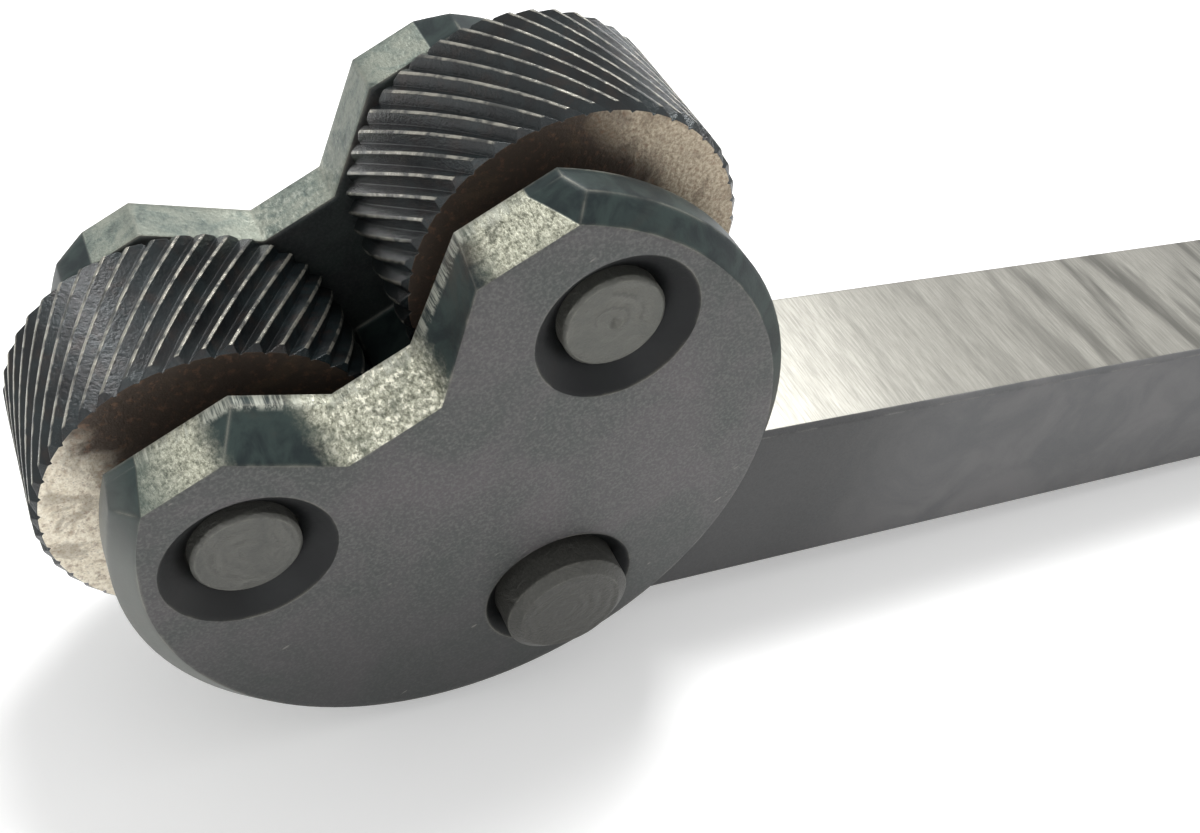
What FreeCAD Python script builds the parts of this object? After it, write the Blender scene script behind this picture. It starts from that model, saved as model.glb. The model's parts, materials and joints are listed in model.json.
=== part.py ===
import FreeCAD, Part
import os
import Sketcher
from FreeCAD import Placement, Rotation, Vector

# Two-wheel knurling tool for a lathe toolpost: a square-section shank, a round swivelling
# head on a pivot pin, and a right-hand and left-hand knurling wheel on pressed pins.
# X runs along the shank to its rear, Y across it and Z up; the origin is the middle of the
# flat underside that sits in the toolpost. Millimetres and degrees throughout.

SIZES = {
    "shank_width": 13.0,
    "shank_height": 14.2,
    "shank_reach": 104.0,
    "shank_edge_break": 0.35,
    "shank_rear_chamfer": 1.2,
    "shank_bore_clearance": 0.05,
    "head_radius": 19.8,
    "head_offset": 12.2,
    "head_thickness": 19.3,
    "head_rim_chamfer": 1.2,
    "head_rim_chamfer_depth": 1.2,
    "head_lean": 34.156,
    "swing_each_way": 56,
    "wheel_slot_side_gap": 0.08,
    "shank_slot_end_gap": 0.3,
    "wheel_slot_end_gap": 0.8,
    "slot_floor_height": 12.6,
    "pin_hole_countersink": 1.8,
    "pin_hole_countersink_depth": 1.5,
    "pivot_hole_countersink": 0.9,
    "pivot_hole_countersink_depth": 0.8,
    "nose_height": 27.2,
    "upper_nose_corner": 7.0,
    "lower_nose_corner": 7.9,
    "notch_floor_height": 22.3,
    "upper_floor_corner": 1.9,
    "lower_floor_corner": 2.9,
    "lower_land_height": 26.1,
    "slot_edge_strip": 0.7,
    "upper_ground_nose_height": 26.1,
    "upper_ground_nose_corner": 6.5,
    "lower_ground_nose_height": 25.25,
    "lower_ground_nose_corner": 8.5,
    "ground_floor_height": 20.3,
    "upper_ground_floor_corner": 1.6,
    "lower_ground_floor_corner": 4.1,
    "wheel_pin_height": 18.1,
    "wheel_pin_spacing": 22.96,
    "wheel_pin_diameter": 6.0,
    "wheel_pin_recess": 0.46,
    "wheel_pin_chamfer": 0.2,
    "pin_centre_mark": 0.45,
    "pin_centre_mark_depth": 0.25,
    "pivot_pin_diameter": 8.0,
    "pivot_pin_proud": 1.9,
    "pivot_pin_chamfer": 0.7,
    "pivot_pin_chamfer_depth": 0.5,
    "pivot_pin_rear_recess": 0.3,
    "wheel_diameter": 20.0,
    "wheel_width": 10.0,
    "wheel_rim_chamfer": 0.35,
    "wheel_bore_clearance": 0.05,
    "wheel_bore_chamfer": 0.4,
    "wheel_side_shift": 1.0,
    "upper_wheel_turn": 1.4,
    "lower_wheel_turn": 4.6,
    "tooth_count": 46,
    "tooth_depth": 0.5,
    "tooth_land": 0.15,
    "tooth_helix": 34,
}

PIVOT_X, PIVOT_Z = "-Sizes.shank_reach / 2", "Sizes.shank_height / 2"
HALF_SLOT = "(Sizes.shank_width / 2 + Sizes.wheel_slot_side_gap)"
PIVOT_SLOT = "(Sizes.shank_height / 2 + Sizes.shank_slot_end_gap)"
WHEEL_SLOT = "(Sizes.wheel_diameter / 2 + Sizes.wheel_slot_end_gap)"
HALF_PINS = "(Sizes.wheel_pin_spacing / 2)"
FLANK = "(90 - Sizes.swing_each_way)"


def size_sheet(doc):
    """The table of driving sizes, one alias per size."""
    sheet = doc.addObject("Spreadsheet::Sheet", "Sizes")
    for row, (name, value) in enumerate(SIZES.items(), start=1):
        sheet.set(f"A{row}", name)
        sheet.set(f"B{row}", str(value))
        sheet.setAlias(f"B{row}", name)
    doc.recompute()


def origin(body, role):
    return next(item for item in body.Origin.OriginFeatures if item.Role == role)


def sketch_on(body, role, name, offset=None):
    """A sketch on one of the body's own planes, moved along its normal by an expression."""
    sketch = body.newObject("Sketcher::SketchObject", name)
    sketch.AttachmentSupport = [(origin(body, role), "")]
    sketch.MapMode = "FlatFace"
    if offset:
        sketch.setExpression(".AttachmentOffset.Base.z", offset)
    return sketch


def number(item, expression):
    return float(item.evalExpression(expression))


def tie(sketch, constraint, expression):
    """Add a driving constraint and bind its value to an expression."""
    index = sketch.addConstraint(constraint)
    sketch.setExpression(f"Constraints[{index}]", expression)


def place_point(sketch, edge, end, x, z):
    """Fix one end of an edge at (x, z) from the sketch origin."""
    for kind, expression in (("DistanceX", x), ("DistanceY", z)):
        value = number(sketch, expression)
        tie(sketch, Sketcher.Constraint(kind, -1, 1, edge, end, value), expression)


def polygon(sketch, points):
    """A closed outline through points given as pairs of expressions."""
    spots = [Vector(number(sketch, x), number(sketch, z), 0) for x, z in points]
    first, count = sketch.GeometryCount, len(points)
    for index, spot in enumerate(spots):
        sketch.addGeometry(Part.LineSegment(spot, spots[(index + 1) % count]), False)
    for index, (x, z) in enumerate(points):
        follower = first + (index + 1) % count
        sketch.addConstraint(Sketcher.Constraint("Coincident", first + index, 2, follower, 1))
        place_point(sketch, first + index, 1, x, z)


def circle(sketch, x, z, radius):
    centre = Vector(number(sketch, x), number(sketch, z), 0)
    edge = sketch.addGeometry(Part.Circle(centre, Vector(0, 0, 1), number(sketch, radius)), False)
    place_point(sketch, edge, 3, x, z)
    tie(sketch, Sketcher.Constraint("Radius", edge, number(sketch, radius)), radius)


def new_body(doc, label):
    body = doc.addObject("PartDesign::Body", label)
    body.Label = label
    return body


def pad(body, sketch, name, length):
    """Add the sketch's outline, shared equally to both sides of its plane."""
    feature = body.newObject("PartDesign::Pad", name)
    feature.Profile = sketch
    feature.SideType = "Symmetric"
    feature.setExpression("Length", length)
    return feature


def pocket(body, sketch, name, length):
    """Cut the sketch's outline, shared equally to both sides of its plane."""
    feature = body.newObject("PartDesign::Pocket", name)
    feature.Profile = sketch
    feature.SideType = "Symmetric"
    feature.setExpression("Length", length)
    return feature


def turned(body, kind, name, points, role="XY_Plane", axis="V_Axis"):
    """Turn a half-section of points about the sketch's own axis."""
    sketch = sketch_on(body, role, name + "_section")
    polygon(sketch, points)
    feature = body.newObject("PartDesign::" + kind, name)
    feature.Profile = sketch
    feature.ReferenceAxis = (sketch, [axis])
    feature.Angle = 360
    feature.Refine = False
    return feature


def mirrored(body, original, name):
    """Repeat a feature on the other side of the middle plane."""
    feature = body.newObject("PartDesign::Mirrored", name)
    feature.Originals = [original]
    feature.MirrorPlane = (origin(body, "XZ_Plane"), [""])
    body.Tip = feature
    return feature


def set_in_head(body, x, y, z, turn="0"):
    """Lean a sub-part with the head, turned on its own axis, (x, y, z) from the pivot."""
    body.Placement = Placement(Vector(0, 0, 0), Rotation(Vector(0, -1, 0), SIZES["head_lean"]))
    lean = "Sizes.head_lean * 1deg"
    body.setExpression(".Placement.Rotation.Angle", f"(Sizes.head_lean + {turn}) * 1deg")
    across = f"({x}) * cos({lean}) - ({z}) * sin({lean})"
    along = f"({x}) * sin({lean}) + ({z}) * cos({lean})"
    body.setExpression(".Placement.Base.x", f"{PIVOT_X} + {across}")
    body.setExpression(".Placement.Base.y", y)
    body.setExpression(".Placement.Base.z", f"{PIVOT_Z} + {along}")


def shank(doc):
    """Rectangular bar with a rounded, bored front end and broken edges, drawn from the pivot."""
    body = new_body(doc, "shank")
    half = "Sizes.shank_height / 2"
    reach, step = "Sizes.shank_reach", "Sizes.shank_rear_chamfer"

    bar = sketch_on(body, "XZ_Plane", "bar_outline")
    polygon(bar, [
        ("0", f"-{half}"), (f"{reach} - {step}", f"-{half}"), (reach, f"-{half} + {step}"),
        (reach, f"{half} - {step}"), (f"{reach} - {step}", half), ("0", half),
    ])
    pad(body, bar, "bar", "Sizes.shank_width")

    round_end = sketch_on(body, "XZ_Plane", "round_end_outline")
    circle(round_end, "0", "0", half)
    pad(body, round_end, "round_end", "Sizes.shank_width")

    bore = sketch_on(body, "XZ_Plane", "pivot_bore_outline")
    circle(bore, "0", "0", "Sizes.pivot_pin_diameter / 2 + Sizes.shank_bore_clearance")
    bored = pocket(body, bore, "pivot_bore", "Sizes.shank_width + 2")
    doc.recompute()

    broken = body.newObject("PartDesign::Chamfer", "broken_edges")
    broken.Base = (bored, lower_edges(bored.Shape))
    broken.setExpression("Size", "Sizes.shank_edge_break")
    body.setExpression(".Placement.Base.x", PIVOT_X)
    body.setExpression(".Placement.Base.z", PIVOT_Z)


def lower_edges(shape):
    """The bar's two lower edges, which run on round the front end to the upper ones."""
    names = []
    for index, edge in enumerate(shape.Edges, start=1):
        box = edge.BoundBox
        if box.XLength > 50 and box.YLength < 1e-6 and box.ZMax < 0:
            names.append(f"Edge{index}")
    return names


def head(doc):
    """Turned disc, slotted for the wheels and the shank, with a notched, bevelled nose."""
    body = new_body(doc, "head")
    disc_blank(body)
    notch(body)
    wheel_slot(body)
    shank_slot(body)
    doc.recompute()
    pin_holes(body)
    set_in_head(body, "0", "0", "0")


def disc_blank(body):
    """The turned disc with a chamfer round each face."""
    half, rim = "Sizes.head_thickness / 2", "Sizes.head_radius"
    inset, depth = "Sizes.head_rim_chamfer", "Sizes.head_rim_chamfer_depth"
    section = sketch_on(body, "XY_Plane", "disc_section")
    section.setExpression(".AttachmentOffset.Base.z", "Sizes.head_offset")
    polygon(section, [
        ("0", f"-{half}"), (f"{rim} - {inset}", f"-{half}"), (rim, f"-{half} + {depth}"),
        (rim, f"{half} - {depth}"), (f"{rim} - {inset}", half), ("0", half),
    ])
    disc = body.newObject("PartDesign::Revolution", "disc")
    disc.Profile = section
    disc.ReferenceAxis = (section, ["V_Axis"])
    disc.Angle = 360


def nose_outline(upper, upper_corner, lower, lower_corner, floor, upper_floor, lower_floor):
    """What is cut from the nose: both lands, the slanted flanks and the notch floor."""
    side, top = "(Sizes.head_radius + 3)", "(Sizes.head_offset + Sizes.head_radius + 3)"
    return [
        (f"-{side}", lower), (f"-{lower_corner}", lower), (f"-{lower_floor}", floor),
        (upper_floor, floor), (upper_corner, upper), (side, upper), (side, top),
        (f"-{side}", top),
    ]


def notch(body):
    """Mill the nose lands and work notch, then grind the near cheek's nose back."""
    nose, land, floor = "Sizes.nose_height", "Sizes.lower_land_height", "Sizes.notch_floor_height"
    upper, upper_floor = "Sizes.upper_nose_corner", "Sizes.upper_floor_corner"
    lower, lower_floor = "Sizes.lower_nose_corner", "Sizes.lower_floor_corner"
    milled = sketch_on(body, "XZ_Plane", "nose_outline")
    polygon(milled, nose_outline(nose, upper, nose, lower, floor, upper_floor, lower_floor))
    pocket(body, milled, "nose_cut", "Sizes.head_thickness + 2")

    near = "Sizes.head_thickness / 2"
    side, top = "(Sizes.head_radius + 3)", "(Sizes.head_offset + Sizes.head_radius + 3)"
    lowered = sketch_on(body, "XZ_Plane", "lower_land_outline", near)
    polygon(lowered, [(f"-{side}", land), ("0", land), ("0", top), (f"-{side}", top)])
    pocket(body, lowered, "lower_land_cut", "Sizes.head_thickness")

    share = f"({land} - {floor}) / ({nose} - {floor})"
    land_corner = f"({lower_floor} + ({lower} - {lower_floor}) * {share})"
    start = sketch_on(body, "XZ_Plane", "bevel_start", f"{HALF_SLOT} + Sizes.slot_edge_strip")
    polygon(start, nose_outline(nose, upper, land, land_corner, floor, upper_floor, lower_floor))
    finish = sketch_on(body, "XZ_Plane", "bevel_finish", near)
    polygon(finish, nose_outline(
        "Sizes.upper_ground_nose_height", "Sizes.upper_ground_nose_corner",
        "Sizes.lower_ground_nose_height", "Sizes.lower_ground_nose_corner",
        "Sizes.ground_floor_height", "Sizes.upper_ground_floor_corner",
        "Sizes.lower_ground_floor_corner"))
    bevel = body.newObject("PartDesign::SubtractiveLoft", "nose_bevels")
    bevel.Profile = start
    bevel.Sections = [finish]
    bevel.Ruled = True


def wheel_slot(body):
    """Slot between the cheeks: a round pocket for each wheel and a flat floor between."""
    width, top = f"2 * {HALF_SLOT}", "(Sizes.head_offset + Sizes.head_radius + 3)"
    for name, side in (("upper_wheel_pocket", ""), ("lower_wheel_pocket", "-")):
        round_part = sketch_on(body, "XZ_Plane", name + "_outline")
        circle(round_part, side + HALF_PINS, "Sizes.wheel_pin_height", WHEEL_SLOT)
        pocket(body, round_part, name, width)
    opening = sketch_on(body, "XZ_Plane", "slot_outline")
    side, shoulder = "(Sizes.head_radius + 3)", "Sizes.wheel_pin_height"
    polygon(opening, [
        (f"-{side}", shoulder), (f"-{HALF_PINS}", shoulder),
        (f"-{HALF_PINS}", "Sizes.slot_floor_height"), (HALF_PINS, "Sizes.slot_floor_height"),
        (HALF_PINS, shoulder), (side, shoulder), (side, top), (f"-{side}", top),
    ])
    pocket(body, opening, "slot_opening", width)


def shank_slot(body):
    """Slot for the shank's end, flared so the head can swing each way."""
    width, far = f"2 * {HALF_SLOT}", "(2 * Sizes.head_radius)"
    angle = f"({FLANK} * 1deg)"
    touch_x, touch_z = f"{PIVOT_SLOT} * sin{angle}", f"{PIVOT_SLOT} * cos{angle}"
    end_x = f"{touch_x} + {far} * cos{angle}"
    end_z = f"{touch_z} - {far} * sin{angle}"
    flare = sketch_on(body, "XZ_Plane", "flare_outline")
    polygon(flare, [
        (touch_x, touch_z), (end_x, end_z), (f"-({end_x})", end_z), (f"-({touch_x})", touch_z),
    ])
    pocket(body, flare, "shank_slot_flare", width)
    seat = sketch_on(body, "XZ_Plane", "seat_outline")
    circle(seat, "0", "0", PIVOT_SLOT)
    pocket(body, seat, "shank_slot_seat", width)


def pin_holes(body):
    """Bores for the three pins, countersunk in both cheek faces."""
    bores = (
        ("upper_pin", HALF_PINS, "Sizes.wheel_pin_height", "wheel_pin", "pin_hole"),
        ("lower_pin", f"-{HALF_PINS}", "Sizes.wheel_pin_height", "wheel_pin", "pin_hole"),
        ("pivot", "0", "0", "pivot_pin", "pivot_hole"),
    )
    half = "Sizes.head_thickness / 2"
    for name, x, z, pin, hole in bores:
        radius = f"Sizes.{pin}_diameter / 2"
        outline = sketch_on(body, "XZ_Plane", name + "_bore_outline")
        circle(outline, x, z, radius)
        pocket(body, outline, name + "_bore", "Sizes.head_thickness + 2")

        sink = body.newObject("PartDesign::SubtractiveCone", name + "_countersink")
        sink.AttachmentSupport = [(origin(body, "XZ_Plane"), "")]
        sink.MapMode = "FlatFace"
        depth = f"Sizes.{hole}_countersink_depth"
        for prop, expression in (
            (".AttachmentOffset.Base.x", x), (".AttachmentOffset.Base.y", z),
            (".AttachmentOffset.Base.z", f"{half} - {depth}"), ("Height", depth),
            ("Radius1", radius), ("Radius2", f"{radius} + Sizes.{hole}_countersink"),
        ):
            sink.setExpression(prop, expression)
        mirrored(body, sink, name + "_countersink_far_side")


def wheel(doc, label, side, left_handed):
    """Knurling wheel: hardened disc, bored for its pin, with helical V teeth on its rim."""
    body = new_body(doc, label)
    bore = "(Sizes.wheel_pin_diameter / 2 + Sizes.wheel_bore_clearance)"
    edge, rim = "Sizes.wheel_width / 2", "Sizes.wheel_diameter / 2"
    lead_in, step = "Sizes.wheel_bore_chamfer", "Sizes.wheel_rim_chamfer"
    turned(body, "Revolution", "blank", [
        (f"{bore} + {lead_in}", f"-{edge}"), (f"{rim} - {step}", f"-{edge}"),
        (rim, f"-{edge} + {step}"), (rim, f"{edge} - {step}"), (f"{rim} - {step}", edge),
        (f"{bore} + {lead_in}", edge), (bore, f"{edge} - {lead_in}"),
        (bore, f"-{edge} + {lead_in}"),
    ])
    teeth(body, left_handed)
    set_in_head(body, side + HALF_PINS, "Sizes.wheel_side_shift", "Sizes.wheel_pin_height",
                f"Sizes.{label}_turn")


def teeth(body, left_handed):
    """One helical V gullet, repeated round the rim to leave narrow-crested teeth."""
    rim, helix = "Sizes.wheel_diameter / 2", "(Sizes.tooth_helix * 1deg)"
    pitch = f"pi * Sizes.wheel_diameter / Sizes.tooth_count / tan{helix}"
    half = f"({pitch} - Sizes.tooth_land / sin{helix}) / 2"
    brim, run_out = "0.03", "2"
    reach = f"{half} * (1 + {brim} / Sizes.tooth_depth)"
    start = f"-(Sizes.wheel_width / 2 + {run_out})"

    profile = sketch_on(body, "XY_Plane", "gullet_profile")
    polygon(profile, [
        (f"{rim} - Sizes.tooth_depth", start), (f"{rim} + {brim}", f"{start} + {reach}"),
        (f"{rim} + 0.3", f"{start} + {reach}"), (f"{rim} + 0.3", f"{start} - {reach}"),
        (f"{rim} + {brim}", f"{start} - {reach}"),
    ])
    gullet = body.newObject("PartDesign::SubtractiveHelix", "gullet")
    gullet.Profile = profile
    gullet.ReferenceAxis = (profile, ["V_Axis"])
    gullet.Mode = "pitch-height-angle"
    gullet.setExpression("Pitch", f"pi * Sizes.wheel_diameter / tan{helix}")
    gullet.setExpression("Height", f"Sizes.wheel_width + 2 * {run_out}")
    gullet.LeftHanded = left_handed
    gullet.Refine = False

    ring = body.newObject("PartDesign::PolarPattern", "ring_of_teeth")
    ring.Originals = [gullet]
    ring.Axis = (origin(body, "Y_Axis"), [""])
    ring.Angle = 360
    ring.setExpression("Occurrences", "Sizes.tooth_count")
    ring.Refine = False
    body.Tip = ring


def wheel_pin(doc, label, side, centre_mark):
    """Plain pin pressed into both cheeks and set just below their faces."""
    body = new_body(doc, label)
    radius = "Sizes.wheel_pin_diameter / 2"
    end = "(Sizes.head_thickness / 2 - Sizes.wheel_pin_recess)"
    chamfer = "Sizes.wheel_pin_chamfer"
    front = [("0", f"-{end}")]
    if centre_mark:
        front = [("0", f"-{end} + Sizes.pin_centre_mark_depth"),
                 ("Sizes.pin_centre_mark", f"-{end}")]
    turned(body, "Revolution", "pin", front + [
        (f"{radius} - {chamfer}", f"-{end}"), (radius, f"-{end} + {chamfer}"),
        (radius, f"{end} - {chamfer}"), (f"{radius} - {chamfer}", end), ("0", end),
    ])
    set_in_head(body, side + HALF_PINS, "0", "Sizes.wheel_pin_height")


def pivot_pin(doc):
    """Large pin pressed in the cheeks, through the shank, with a chamfered proud end."""
    body = new_body(doc, "pivot_pin")
    radius, half = "Sizes.pivot_pin_diameter / 2", "Sizes.head_thickness / 2"
    front = f"(-{half} - Sizes.pivot_pin_proud)"
    rear = f"({half} - Sizes.pivot_pin_rear_recess)"
    inset, depth = "Sizes.pivot_pin_chamfer", "Sizes.pivot_pin_chamfer_depth"
    turned(body, "Revolution", "pin", [
        ("0", front), (f"{radius} - {inset}", front), (radius, f"{front} + {depth}"),
        (radius, f"{rear} - {depth}"), (f"{radius} - {inset}", rear), ("0", rear),
    ])
    set_in_head(body, "0", "0", "0")


def check_and_export(doc):
    """Stop on any failed feature, then write one file per sub-part."""
    for item in doc.Objects:
        if "Invalid" in item.State or "Error" in item.State:
            raise RuntimeError(f"{item.Name} did not compute: {item.State}")
    for body in doc.findObjects("PartDesign::Body"):
        if body.Shape.isNull() or not body.Shape.isValid():
            raise RuntimeError(f"{body.Label} has no valid shape")
        body.Shape.exportStep(f"parts/{body.Label}.step")
        print(body.Label, round(body.Shape.Volume, 2), len(body.Shape.Solids))


def build():
    os.makedirs("parts", exist_ok=True)
    doc = FreeCAD.newDocument("knurling_tool")
    size_sheet(doc)
    shank(doc)
    head(doc)
    wheel(doc, "upper_wheel", "", True)
    wheel(doc, "lower_wheel", "-", False)
    wheel_pin(doc, "upper_wheel_pin", "", True)
    wheel_pin(doc, "lower_wheel_pin", "-", False)
    pivot_pin(doc)
    doc.recompute()
    check_and_export(doc)


build()
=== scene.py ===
import json
import math
import bpy
from mathutils import Matrix, Vector


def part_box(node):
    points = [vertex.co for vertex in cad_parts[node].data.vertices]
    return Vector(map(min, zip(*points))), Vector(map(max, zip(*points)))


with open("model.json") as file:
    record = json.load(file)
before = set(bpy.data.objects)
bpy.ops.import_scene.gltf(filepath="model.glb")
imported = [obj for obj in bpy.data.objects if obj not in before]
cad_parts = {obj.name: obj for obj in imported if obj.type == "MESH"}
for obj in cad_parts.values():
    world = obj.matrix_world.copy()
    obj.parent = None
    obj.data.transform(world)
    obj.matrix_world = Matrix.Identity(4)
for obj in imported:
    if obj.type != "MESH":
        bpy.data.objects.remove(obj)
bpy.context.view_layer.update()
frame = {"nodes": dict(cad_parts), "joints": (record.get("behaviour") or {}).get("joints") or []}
joints = {joint["name"]: Vector(joint["pos_m"]) for joint in frame["joints"]}

# ---- Shank
# A square bar of bright drawn steel that clamps in the toolpost. Its top is ground across
# its width and left bare, with painted shade that grows away from the head; its sides keep a
# dull blued skin, with painted shade near the head; and its broken edges are rubbed.


def put(tree, kind, inputs=None, **settings):
    """A shader node of this kind, with its settings, and its inputs given or linked."""
    node = tree.nodes.new("ShaderNode" + kind)
    for name, value in settings.items():
        setattr(node, name, value)
    for key, value in (inputs or {}).items():
        if isinstance(value, bpy.types.NodeSocket):
            tree.links.new(value, node.inputs[key])
        else:
            node.inputs[key].default_value = value
    return node


def maths(tree, operation, first, second=0.0, third=0.0):
    """One sum on up to three values; each is a number or a socket."""
    inputs = {0: first, 1: second, 2: third}
    return put(tree, "Math", inputs, operation=operation).outputs[0]


def rise(tree, value, low, high, start=0.0, end=1.0):
    """The value turned into a soft step: start below low, end above high."""
    inputs = {0: value, 1: low, 2: high, 3: start, 4: end}
    return put(tree, "MapRange", inputs, interpolation_type="SMOOTHSTEP").outputs[0]


def blend(tree, share, first, second):
    """Two colours mixed, with this share of the second."""
    inputs = {0: share, 6: first, 7: second}
    return put(tree, "Mix", inputs, data_type="RGBA").outputs[2]


def speckle(tree, place, scale, detail=3.0, rough=0.55, twist=0.0):
    """Cloudy noise from 0 to 1; a scale of 1 gives clouds about a millimetre across."""
    inputs = {"Vector": place, "Scale": scale, "Detail": detail, "Roughness": rough,
              "Distortion": twist}
    return put(tree, "TexNoise", inputs).outputs[0]


def tone(red, green, blue):
    """A colour from a paint chart, each part from 0 to 255."""
    return tuple(((part / 255 + 0.055) / 1.055) ** 2.4 for part in (red, green, blue)) + (1,)


def millimetres(tree, centre, lean=0.0):
    """Millimetres from a centre along axes that lean with the piece."""
    spot = tree.nodes.new("ShaderNodeTexCoord").outputs["Object"]
    inputs = {"Vector": spot, "Location": centre, "Rotation": (0, -lean, 0),
              "Scale": (0.001, 0.001, 0.001)}
    return put(tree, "Mapping", inputs, vector_type="TEXTURE").outputs[0]


def stretched(tree, place, x, y, z):
    """A place with each axis scaled, so a pattern runs long where its factor is small."""
    inputs = {0: place, 1: (x, y, z)}
    return put(tree, "VectorMath", inputs, operation="MULTIPLY").outputs[0]


def length(tree, offset):
    """How long a vector is, in its own unit."""
    return put(tree, "VectorMath", {0: offset}, operation="LENGTH").outputs["Value"]


def facing(tree, way):
    """How squarely the piece's own surface looks along a direction, from -1 to 1."""
    outward = tree.nodes.new("ShaderNodeTexCoord").outputs["Normal"]
    node = put(tree, "VectorMath", {0: outward, 1: tuple(way)}, operation="DOT_PRODUCT")
    return node.outputs["Value"]


def dressed(node_name, skin_name, metallic, gloss):
    """A CAD piece given one new material; returns its tree and its steel surface."""
    skin = bpy.data.materials.new(skin_name)
    skin.use_nodes = True
    piece = frame["nodes"][node_name]
    piece.data.materials.clear()
    piece.data.materials.append(skin)
    steel = skin.node_tree.nodes["Principled BSDF"]
    steel.inputs["Metallic"].default_value = metallic
    steel.inputs["Specular IOR Level"].default_value = gloss
    return skin.node_tree, steel


def join(tree, steel, colour, roughness, height, depth, corner, metallic=None):
    """Colour, roughness and relief led into the steel; depth and corner are in metres."""
    tree.links.new(colour, steel.inputs["Base Color"])
    tree.links.new(roughness, steel.inputs["Roughness"])
    soft = put(tree, "Bevel", {"Radius": corner}, samples=6).outputs[0]
    relief = put(tree, "Bump", {"Height": height, "Distance": depth, "Normal": soft})
    tree.links.new(relief.outputs["Normal"], steel.inputs["Normal"])
    if metallic:
        tree.links.new(metallic, steel.inputs["Metallic"])


def group(name, inputs, outputs):
    """A shared effect with named sockets: its tree, what comes in, and what goes out."""
    tree = bpy.data.node_groups.new(name, "ShaderNodeTree")
    for socket, kind, value in inputs:
        made = tree.interface.new_socket(socket, in_out="INPUT", socket_type="NodeSocket" + kind)
        if value is not None:
            made.default_value = value
    for socket in outputs:
        tree.interface.new_socket(socket, in_out="OUTPUT", socket_type="NodeSocketFloat")
    return tree, tree.nodes.new("NodeGroupInput").outputs, tree.nodes.new("NodeGroupOutput").inputs


def placed(tree, effect, **inputs):
    """A shared effect set into a material with its own values."""
    node = tree.nodes.new("ShaderNodeGroup")
    node.node_tree = effect
    for key, value in inputs.items():
        if isinstance(value, bpy.types.NodeSocket):
            tree.links.new(value, node.inputs[key])
        else:
            node.inputs[key].default_value = value
    return node.outputs


# Rubbed edges: where a rounded copy of the surface turns away from the real one, broken up.
rubbed_edge, given, out = group(
    "rubbed_edge", [("Place", "Vector", None), ("Width", "Float", 0.0003),
                    ("Patch", "Float", 0.9)], ["Edge"])
rounded = put(rubbed_edge, "Bevel", {"Radius": given["Width"]}, samples=6).outputs[0]
real = rubbed_edge.nodes.new("ShaderNodeNewGeometry").outputs["Normal"]
turn = put(rubbed_edge, "VectorMath", {0: rounded, 1: real}, operation="DOT_PRODUCT")
sharp = rise(rubbed_edge, turn.outputs["Value"], 0.995, 0.93)
patch = rise(rubbed_edge, speckle(rubbed_edge, given["Place"], given["Patch"], 4.0), 0.38, 0.62)
rubbed_edge.links.new(maths(rubbed_edge, "MULTIPLY", sharp, patch), out["Edge"])

# Steel grain: a fine sparkle, a slow cloud, and pits, all from one place.
steel_grain, given, out = group(
    "steel_grain", [("Place", "Vector", None), ("Fineness", "Float", 6.0),
                    ("Cloud_size", "Float", 0.25)], ["Grain", "Cloud", "Pits"])
steel_grain.links.new(speckle(steel_grain, given["Place"], given["Fineness"], 4.0, 0.7),
                      out["Grain"])
steel_grain.links.new(speckle(steel_grain, given["Place"], given["Cloud_size"], 5.0, 0.6, 0.8),
                      out["Cloud"])
cells = put(steel_grain, "TexVoronoi", {"Vector": given["Place"], "Scale": given["Fineness"]})
steel_grain.links.new(rise(steel_grain, cells.outputs["Distance"], 0.35, 0.12), out["Pits"])

# Brushed lines: long fine streaks that run along the place's own y axis.
brushed_lines, given, out = group(
    "brushed_lines", [("Place", "Vector", None), ("Across", "Float", 6.0)], ["Fine", "Broad"])
thin = stretched(brushed_lines, given["Place"], 1, 0.06, 1)
brushed_lines.links.new(speckle(brushed_lines, thin, given["Across"], 5.0, 0.75), out["Fine"])
wide = stretched(brushed_lines, given["Place"], 1, 0.12, 1)
slow = maths(brushed_lines, "MULTIPLY", given["Across"], 0.08)
brushed_lines.links.new(speckle(brushed_lines, wide, slow, 3.0, 0.6), out["Broad"])

tree, steel = dressed("shank", "shank_ground_steel", 0.0, 0.4)
place = millimetres(tree, joints["head_swivel"])
top = rise(tree, facing(tree, (0, 0, 1)), 0.85, 0.97)
lines = placed(tree, brushed_lines, Place=place, Across=5.5)
grain = placed(tree, steel_grain, Place=place, Fineness=7.0, Cloud_size=0.16)
edge = placed(tree, rubbed_edge, Place=place, Width=0.00025, Patch=0.5)["Edge"]
along = put(tree, "SeparateXYZ", {0: place}).outputs["X"]
ground = blend(tree, rise(tree, lines["Fine"], 0.3, 0.72), tone(168, 166, 158), tone(216, 214, 204))
# Painted shade: the ground top is darkened more and more away from the head, broken up by broad
# streaks.
streaked_painted_shade = maths(tree, "MULTIPLY_ADD", rise(tree, lines["Broad"], 0.42, 0.66),
              rise(tree, along, 34.0, 52.0, 0.1, 0.35), rise(tree, along, 12.0, 34.0, 0.0, 0.6))
ground = blend(tree, streaked_painted_shade, ground, tone(84, 83, 78))
skin = blend(tree, rise(tree, grain["Cloud"], 0.35, 0.7), tone(84, 85, 87), tone(102, 101, 102))
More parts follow.
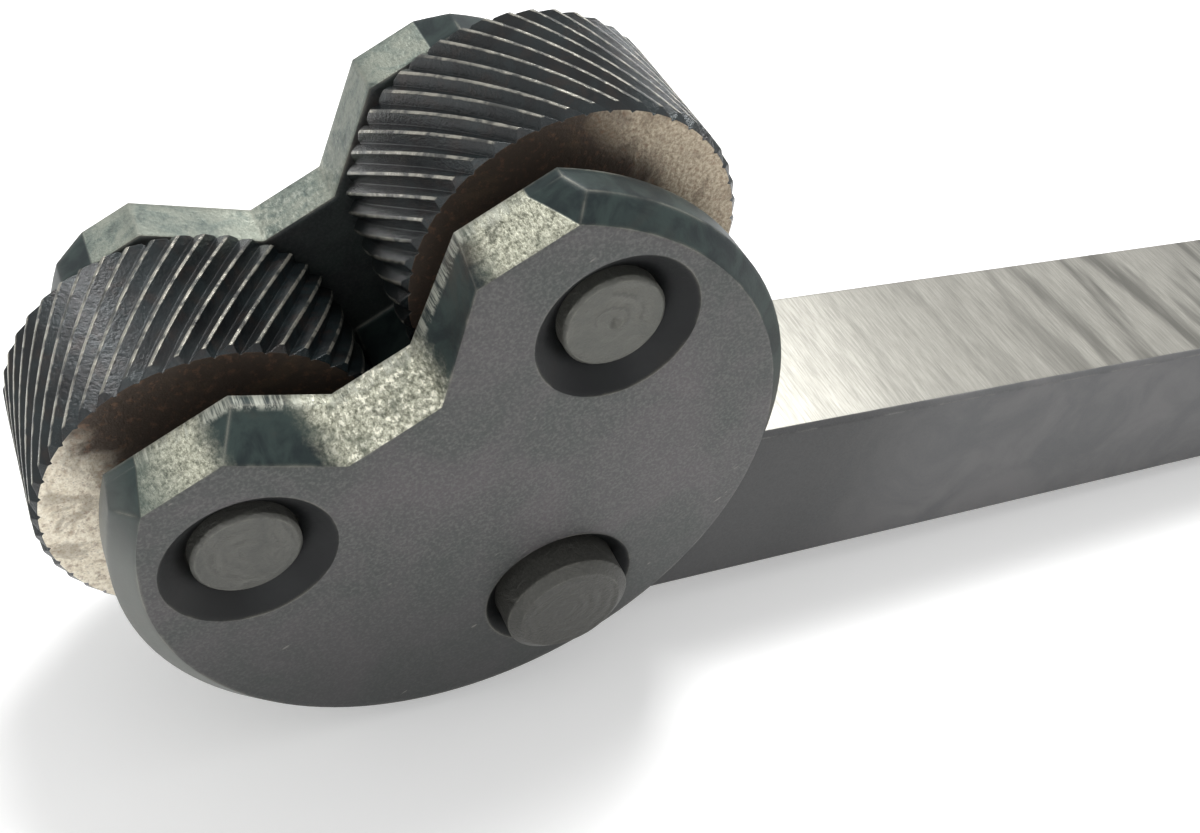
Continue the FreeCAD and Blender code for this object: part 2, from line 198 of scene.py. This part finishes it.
# Painted shade: the side skin is darkened toward the head, where the head shades it.
skin = blend(tree, rise(tree, along, 34.0, 20.0, 0.0, 0.9), skin, tone(50, 50, 52))
skin = blend(tree, maths(tree, "MULTIPLY", grain["Grain"], 0.35), skin, tone(120, 120, 118))
colour = blend(tree, top, skin, ground)
colour = blend(tree, maths(tree, "MULTIPLY", edge, 0.4), colour, tone(165, 163, 158))
rough = blend(tree, top, (0.55, 0.55, 0.55, 1), (0.34, 0.34, 0.34, 1))
rough = maths(tree, "MULTIPLY_ADD", lines["Fine"], 0.14, rough)
height = maths(tree, "ADD", maths(tree, "MULTIPLY", lines["Fine"], top),
               maths(tree, "MULTIPLY", grain["Grain"], 0.35))
join(tree, steel, colour, rough, height, 0.000012, 0.0003,
     maths(tree, "MULTIPLY_ADD", top, 0.6, 0.15))

# ---- Head
# One milled and blacked steel holder that grips both wheels. Its big faces are smooth, its
# rim and the flanks of the notch keep a dark blue-green oxide, and its nose is ground back
# to coarse bright steel that has rusted a little since.
pivot = joints["head_swivel"]
upper_pin, lower_pin = joints["upper_wheel_spin"], joints["lower_wheel_spin"]
nose_way = ((upper_pin + lower_pin) / 2 - pivot).normalized()
head_lean = math.atan2(-nose_way.x, nose_way.z)
side_way = Vector((math.cos(head_lean), 0, math.sin(head_lean)))
head_low, head_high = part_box("head")
rim_radius = (head_high.x - head_low.x) / 2
disc_middle = Vector(((head_high.x + head_low.x) / 2, 0, head_low.z + rim_radius))

tree, steel = dressed("head", "head_blacked_steel", 0.0, 0.3)
place = millimetres(tree, pivot, head_lean)
head_place = put(tree, "SeparateXYZ", {0: place}).outputs
grain = placed(tree, steel_grain, Place=place, Fineness=5.0, Cloud_size=0.13)
coarse = placed(tree, steel_grain, Place=place, Fineness=2.6, Cloud_size=0.45)
edge = placed(tree, rubbed_edge, Place=place, Width=0.0003, Patch=0.45)["Edge"]
grit = placed(tree, steel_grain, Place=stretched(tree, place, 1.0, 0.6, 1.0), Fineness=3.4)
lines = placed(tree, brushed_lines, Place=place, Across=3.5)

# Where things are: the cheeks' flat faces, the notch's flanks, the rim chamfer and the nose.
flat = rise(tree, maths(tree, "ABSOLUTE", facing(tree, (0, 1, 0))), 0.97, 0.995)
cheek_face = head_high.y * 1000
outside = rise(tree, maths(tree, "ABSOLUTE", head_place["Y"]), cheek_face - 0.5,
               cheek_face - 0.3, 0.4, 1.0)
nose_up = facing(tree, nose_way)
lie = maths(tree, "MULTIPLY_ADD", coarse["Grain"], 1.2, head_place["X"])
flank = maths(tree, "MULTIPLY", rise(tree, maths(tree, "ABSOLUTE", lie), 9.0, 7.2),
              rise(tree, maths(tree, "ABSOLUTE", maths(tree, "ADD", lie, 0.4)), 2.6, 4.2))
far_side = rise(tree, head_place["Y"], -1.0, 1.0)
flank = maths(tree, "MULTIPLY", flank, maths(tree, "MULTIPLY_ADD", far_side, -0.7, 1.0))
around = stretched(tree, millimetres(tree, disc_middle), 1, 0, 1)
rim_chamfer = 1.2
rim_start = rim_radius * 1000 - rim_chamfer
rim = rise(tree, length(tree, around), rim_start - 0.15, rim_start + 0.05)
nose = maths(tree, "MULTIPLY", rise(tree, nose_up, 0.25, 0.45),
             rise(tree, head_place["Z"], 18.6, 19.2))
nose = maths(tree, "MULTIPLY", nose, maths(tree, "SUBTRACT", 1.0, flat))
nose = maths(tree, "MULTIPLY", nose, rise(tree, rim, 0.5, 1.0, 1.0, 0.0))

# The cheek's smooth grey, with painted shade toward its low side; the oxide, browned in places
# and paler on the rim's outer end.
face = blend(tree, rise(tree, grain["Cloud"], 0.3, 0.75), tone(68, 72, 70), tone(86, 82, 84))
face = blend(tree, rise(tree, grain["Grain"], 0.4, 0.7, 0.0, 0.55), face, tone(112, 112, 110))
face = blend(tree, rise(tree, grain["Pits"], 0.2, 1.0, 0.0, 0.3), face, tone(62, 62, 64))
# Painted shade: the cheek face is darkened toward its low side, which faces the floor.
low_side = put(tree, "SeparateXYZ", {0: millimetres(tree, disc_middle)}).outputs["Z"]
face = blend(tree, rise(tree, low_side, 0.0, -19.0, 0.0, 0.62), face, tone(48, 50, 50))
oxide = blend(tree, rise(tree, coarse["Cloud"], 0.35, 0.65), tone(22, 32, 34), tone(44, 56, 54))
oxide = blend(tree, rise(tree, grain["Cloud"], 0.52, 0.72), oxide, tone(62, 54, 46))
oxide = blend(tree, rise(tree, head_place["X"], -12.0, -17.0, 0.0, 0.8), oxide, tone(118, 120, 116))

# Bare ground steel on the nose: painted glints, strongest in the notch; duller on the far cheek.
notch_floor = rise(tree, maths(tree, "ABSOLUTE", head_place["X"]), 4.8, 3.4)
bare = blend(tree, rise(tree, grain["Grain"], 0.3, 0.7), tone(112, 113, 98), tone(196, 196, 178))
painted_glint = maths(tree, "MULTIPLY", rise(tree, grit["Grain"], 0.52, 0.62),
              maths(tree, "MULTIPLY_ADD", notch_floor, 0.75, 0.2))
bare = blend(tree, painted_glint, bare, tone(235, 233, 216))
bare = blend(tree, rise(tree, grit["Grain"], 0.46, 0.36, 0.0, 0.6), bare, tone(58, 60, 50))
bare = blend(tree, rise(tree, coarse["Cloud"], 0.48, 0.66, 0.0, 0.6), bare, tone(84, 90, 80))
far_bare = blend(tree, rise(tree, coarse["Cloud"], 0.4, 0.6), tone(98, 112, 108),
                 tone(142, 148, 138))
bare = blend(tree, maths(tree, "MULTIPLY", far_side, 0.75), bare, far_bare)
bare = blend(tree, rise(tree, head_place["X"], -9.5, -13.0, 0.0, 0.7), bare, tone(78, 90, 86))

# Brighter milled streaks near the slot, then oxide and painted shade in the pins' countersinks.
milled = maths(tree, "MULTIPLY", rise(tree, head_place["Y"], -7.6, -7.3),
               rise(tree, head_place["Y"], 0.0, -1.0))
milled = maths(tree, "MULTIPLY", milled, rise(tree, lines["Fine"], 0.42, 0.6))
worn = maths(tree, "MULTIPLY", nose, maths(tree, "SUBTRACT", 1.0, flank))
worn = maths(tree, "MULTIPLY", worn, rise(tree, coarse["Cloud"], 0.3, 0.42, 0.55, 1.0))
sunk_radius = 5.2
sunk = []
for centre in (upper_pin, lower_pin, pivot):
    reach = length(tree, stretched(tree, millimetres(tree, centre), 1, 0, 1))
    sunk.append(rise(tree, reach, sunk_radius, sunk_radius - 0.2))
# Near-black in the countersinks: dark oxide, and painted shade for the recess.
sunk_oxide_and_shade = maths(tree, "MAXIMUM", sunk[0], maths(tree, "MAXIMUM", sunk[1], sunk[2]))
oxide = blend(tree, maths(tree, "MULTIPLY", sunk_oxide_and_shade, 0.93), oxide, tone(12, 12, 14))

# A few nicks in the face, then all of it laid over each other, with rubbed edges on top.
nicks = speckle(tree, stretched(tree, place, 0.7, 1, 2.4), 0.9, 1.5, 0.4)
face = blend(tree, rise(tree, nicks, 0.76, 0.80, 0.0, 0.45), face, tone(150, 146, 140))
colour = blend(tree, maths(tree, "MULTIPLY", flat, outside), oxide, face)
colour = blend(tree, worn, colour, bare)
milled = maths(tree, "MULTIPLY", maths(tree, "MULTIPLY", milled, nose), 0.7)
colour = blend(tree, milled, colour, tone(176, 178, 166))
colour = blend(tree, maths(tree, "MULTIPLY", edge, 0.45), colour, tone(160, 158, 146))
rough = maths(tree, "MULTIPLY_ADD", grain["Grain"], 0.15, 0.40)
height = maths(tree, "MULTIPLY_ADD", maths(tree, "MULTIPLY", grit["Grain"], worn), 6.0,
               maths(tree, "MULTIPLY", grain["Grain"], 0.4))
join(tree, steel, colour, rough, height, 0.00002, 0.0006,
     maths(tree, "MULTIPLY_ADD", worn, 0.35, 0.25))

# ---- Pins
# Three plain ground pins pressed into the head: two carry the wheels and are peened over
# with a small centre mark, and the thick one is what the shank's round end swings on.


def turned_end(node_name, skin_name, centre, dark, light, seed):
    """A pin's steel, with the uneven rings that the turning tool left on its end."""
    tree, steel = dressed(node_name, skin_name, 0.25, 0.3)
    place = millimetres(tree, centre)
    shifted = put(tree, "VectorMath", {0: place, 1: (seed, 0, seed)}, operation="ADD").outputs[0]
    grain = placed(tree, steel_grain, Place=shifted, Fineness=5.5, Cloud_size=0.45)
    edge = placed(tree, rubbed_edge, Place=shifted, Width=0.0002, Patch=0.8)["Edge"]
    swirl = stretched(tree, place, 1, 0, 1)
    swirl = put(tree, "VectorMath", {0: swirl, 1: (0.25, 0, -0.2)}, operation="ADD").outputs[0]
    radius = maths(tree, "MULTIPLY_ADD", grain["Cloud"], 1.6, length(tree, swirl))
    rings = maths(tree, "SINE", maths(tree, "MULTIPLY", radius, 7.5))
    rings = maths(tree, "MULTIPLY", rings, rise(tree, grain["Cloud"], 0.40, 0.62))
    colour = blend(tree, rise(tree, grain["Cloud"], 0.3, 0.7), dark, light)
    colour = blend(tree, maths(tree, "MULTIPLY", grain["Grain"], 0.4), colour,
                   tone(128, 127, 120))
    colour = blend(tree, rise(tree, rings, 0.3, 1.0, 0.0, 0.45), colour, tone(56, 57, 54))
    colour = blend(tree, maths(tree, "MULTIPLY", edge, 0.5), colour, tone(150, 149, 140))
    rough = maths(tree, "MULTIPLY_ADD", grain["Grain"], 0.2, 0.32)
    height = maths(tree, "MULTIPLY_ADD", rings, 0.9, grain["Grain"])
    join(tree, steel, colour, rough, height, 0.00005, 0.0003)


turned_end("upper_wheel_pin", "upper_pin_steel", upper_pin, tone(70, 72, 68), tone(92, 92, 87), 3)
turned_end("lower_wheel_pin", "lower_pin_steel", lower_pin, tone(64, 66, 64), tone(94, 94, 90), 9)
turned_end("pivot_pin", "pivot_steel", pivot, tone(36, 37, 36), tone(52, 52, 50), 17)

# ---- Wheels
# Two hardened knurls with milled slanting teeth, one of each hand. The teeth are black and
# glossy with crests rubbed to silver, and the ground ends have a thin tan stain, with painted
# shade on their inner part and, on the lower wheel, a paler tan that is painted light.


crest_radius = 10.0


def knurl_skin(node_name, skin_name, centre, stain_seed, shade, light, painted_shade_within):
    """A wheel's steel: stained ground ends with painted shade on their inner part, glossy
    black teeth and bright chipped crests.
    """
    tree, steel = dressed(node_name, skin_name, 0.0, 0.5)
    place = millimetres(tree, centre)
    shifted = put(tree, "VectorMath", {0: place, 1: (stain_seed, stain_seed, 0)},
                  operation="ADD").outputs[0]
    grain = placed(tree, steel_grain, Place=shifted, Fineness=4.5, Cloud_size=0.32)
    chips = placed(tree, steel_grain, Place=shifted, Fineness=2.2, Cloud_size=0.7)
    radius = length(tree, stretched(tree, place, 1, 0, 1))
    end = rise(tree, maths(tree, "ABSOLUTE", facing(tree, (0, 1, 0))), 0.9, 0.98)
    ragged = maths(tree, "MULTIPLY_ADD", chips["Grain"], -0.10, radius)
    crest = rise(tree, ragged, crest_radius - 0.1, crest_radius - 0.045)
    crest = maths(tree, "MULTIPLY", crest, rise(tree, chips["Cloud"], 0.40, 0.58, 0.1, 0.8))
    tan = blend(tree, rise(tree, grain["Grain"], 0.3, 0.7), shade, light)
    outer = put(tree, "SeparateXYZ", {0: millimetres(tree, pivot, head_lean)}).outputs["X"]
    outer = maths(tree, "MULTIPLY_ADD", grain["Cloud"], 6.0, maths(tree, "ABSOLUTE", outer))
    # Painted shade: the ends are darkened toward the head's middle, in the gap by the cheek.
    tan = blend(tree, rise(tree, outer, painted_shade_within, painted_shade_within - 3.0), tan, tone(74, 64, 56))
    tan = blend(tree, rise(tree, grain["Cloud"], 0.56, 0.66, 0.0, 0.45), tan, tone(96, 82, 66))
    tan = blend(tree, rise(tree, chips["Grain"], 0.52, 0.68, 0.0, 0.5), tan, tone(128, 98, 78))
    tan = blend(tree, maths(tree, "MULTIPLY", grain["Pits"], 0.25), tan, tone(54, 44, 36))
    black = blend(tree, rise(tree, grain["Cloud"], 0.35, 0.65), tone(14, 17, 19), tone(30, 38, 40))
    black = blend(tree, rise(tree, chips["Cloud"], 0.5, 0.7, 0.0, 0.6), black, tone(44, 36, 32))
    colour = blend(tree, crest, black, tone(168, 165, 154))
    colour = blend(tree, end, colour, tan)
    rough = maths(tree, "MULTIPLY_ADD", grain["Grain"], 0.24, 0.08)
    rough = maths(tree, "MULTIPLY_ADD", end, 0.3, rough)
    height = maths(tree, "MULTIPLY_ADD", chips["Grain"], crest, grain["Grain"])
    join(tree, steel, colour, rough, height, 0.00004, 0.00009,
         maths(tree, "MAXIMUM", maths(tree, "MULTIPLY_ADD", crest, 0.5, 0.3),
               maths(tree, "MULTIPLY", end, 0.5)))


# The lower wheel's ends get a paler tan than the upper's, which is painted light; the upper's
# browner tan is a stain.
knurl_skin("upper_wheel", "upper_wheel_steel", upper_pin, 4, tone(140, 124, 104),
           tone(206, 194, 172), 21.5)
knurl_skin("lower_wheel", "lower_wheel_steel", lower_pin, 13, tone(214, 202, 180),
           tone(250, 243, 226), 20.0)

# ---- Bench and white room
# The tool lies as it is put down: on the rim of its head and on the rear edge of its shank,
# on a plain white bench top, in a white room whose window is behind it and to its right.
shank_low, shank_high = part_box("shank")
heel = Vector((shank_high.x, 0, shank_low.z))
across = heel - disc_middle
slope = math.atan2(across.z, across.x) + math.asin(rim_radius / across.length)



def seen_plainly(tree):
    """1 for a ray from the camera, off a gloss or through glass, and 0 for soft light."""
    path = tree.nodes.new("ShaderNodeLightPath").outputs
    seen = maths(tree, "MAXIMUM", path["Is Camera Ray"], path["Is Glossy Ray"])
    return maths(tree, "MAXIMUM", seen, path["Is Transmission Ray"])


bench_width, bench_gap, bench_glow = 6, 0.0002, 0.28
bpy.ops.mesh.primitive_plane_add(size=bench_width)
bench = bpy.context.object
bench.name = "bench_top"
bench.rotation_euler = (0, -slope, 0)
bench.location = heel + Vector((0, 0, -bench_gap))

white = bpy.data.materials.new("white_bench")
white.use_nodes = True
tree = white.node_tree
surface = tree.nodes["Principled BSDF"]
surface.inputs["Base Color"].default_value = (0.88, 0.88, 0.875, 1)
surface.inputs["Roughness"].default_value = 0.6
surface.inputs["Emission Color"].default_value = (1, 1, 1, 1)
glow = maths(tree, "MULTIPLY", seen_plainly(tree), bench_glow)
tree.links.new(glow, surface.inputs["Emission Strength"])
bench.data.materials.append(white)

window_way = Vector((0.43, 0.61, 0.67)).normalized()
world = bpy.data.worlds.new("white_room")
bpy.context.scene.world = world
world.use_nodes = True
tree = world.node_tree
sky_way = tree.nodes.new("ShaderNodeTexCoord").outputs["Generated"]
toward = put(tree, "VectorMath", {0: sky_way, 1: tuple(window_way)}, operation="DOT_PRODUCT")
room = rise(tree, toward.outputs["Value"], -0.4, 0.98, 0.12, 0.85)
left_wall = (-0.79, 0.61, 0.05)
left_glow = put(tree, "VectorMath", {0: sky_way, 1: left_wall}, operation="DOT_PRODUCT")
room = maths(tree, "MAXIMUM", room, rise(tree, left_glow.outputs["Value"], 0.6, 0.95))
background = tree.nodes["Background"]
background.inputs["Color"].default_value = (1, 1, 1, 1)
strength = put(tree, "Mix", {0: seen_plainly(tree), 2: room, 3: 1.0}, data_type="FLOAT")
tree.links.new(strength.outputs[0], background.inputs["Strength"])


def soft_lamp(name, way, distance, size, power):
    """A square studio lamp that faces the head's pivot from that way, in metres and watts."""
    data = bpy.data.lights.new(name, "AREA")
    data.size = size
    data.energy = power
    lamp = bpy.data.objects.new(name, data)
    bpy.context.scene.collection.objects.link(lamp)
    aim = Vector(way).normalized()
    lamp.location = pivot + aim * distance
    lamp.rotation_euler = aim.to_track_quat("Z", "Y").to_euler()


soft_lamp("window_behind", (0.22, 0.36, 0.91), 0.8, 0.26, 6.0)
soft_lamp("front_fill", (-0.45, -0.75, 0.45), 0.8, 0.6, 1.8)

# ---- Camera
# Close above the head and to its left, looking down along the shank, with a lens a little
# longer than normal. The three directions are the view's own axes, and the shift is where
# the pivot lies along them, in millimetres.
camera_data = bpy.data.cameras.new("camera")
camera_data.sensor_width = 36
camera_data.lens = 41.40
camera_data.clip_start = 0.005
camera = bpy.data.objects.new("camera", camera_data)
bpy.context.scene.collection.objects.link(camera)
bpy.context.scene.camera = camera
bpy.context.scene.view_settings.view_transform = "Standard"
right = Vector((0.88994853, -0.41205345, 0.19545731))
down = Vector((-0.15431665, -0.67536996, -0.7211531))
forward = Vector((0.42915962, 0.61162682, -0.66463121))
shift = Vector((-6.55665144, 4.23256014, 92.67451258)) / 1000
stand = Matrix((right, -down, -forward)).transposed()
camera.matrix_world = Matrix.Translation(
    pivot - right * shift.x - down * shift.y - forward * shift.z) @ stand.to_4x4()
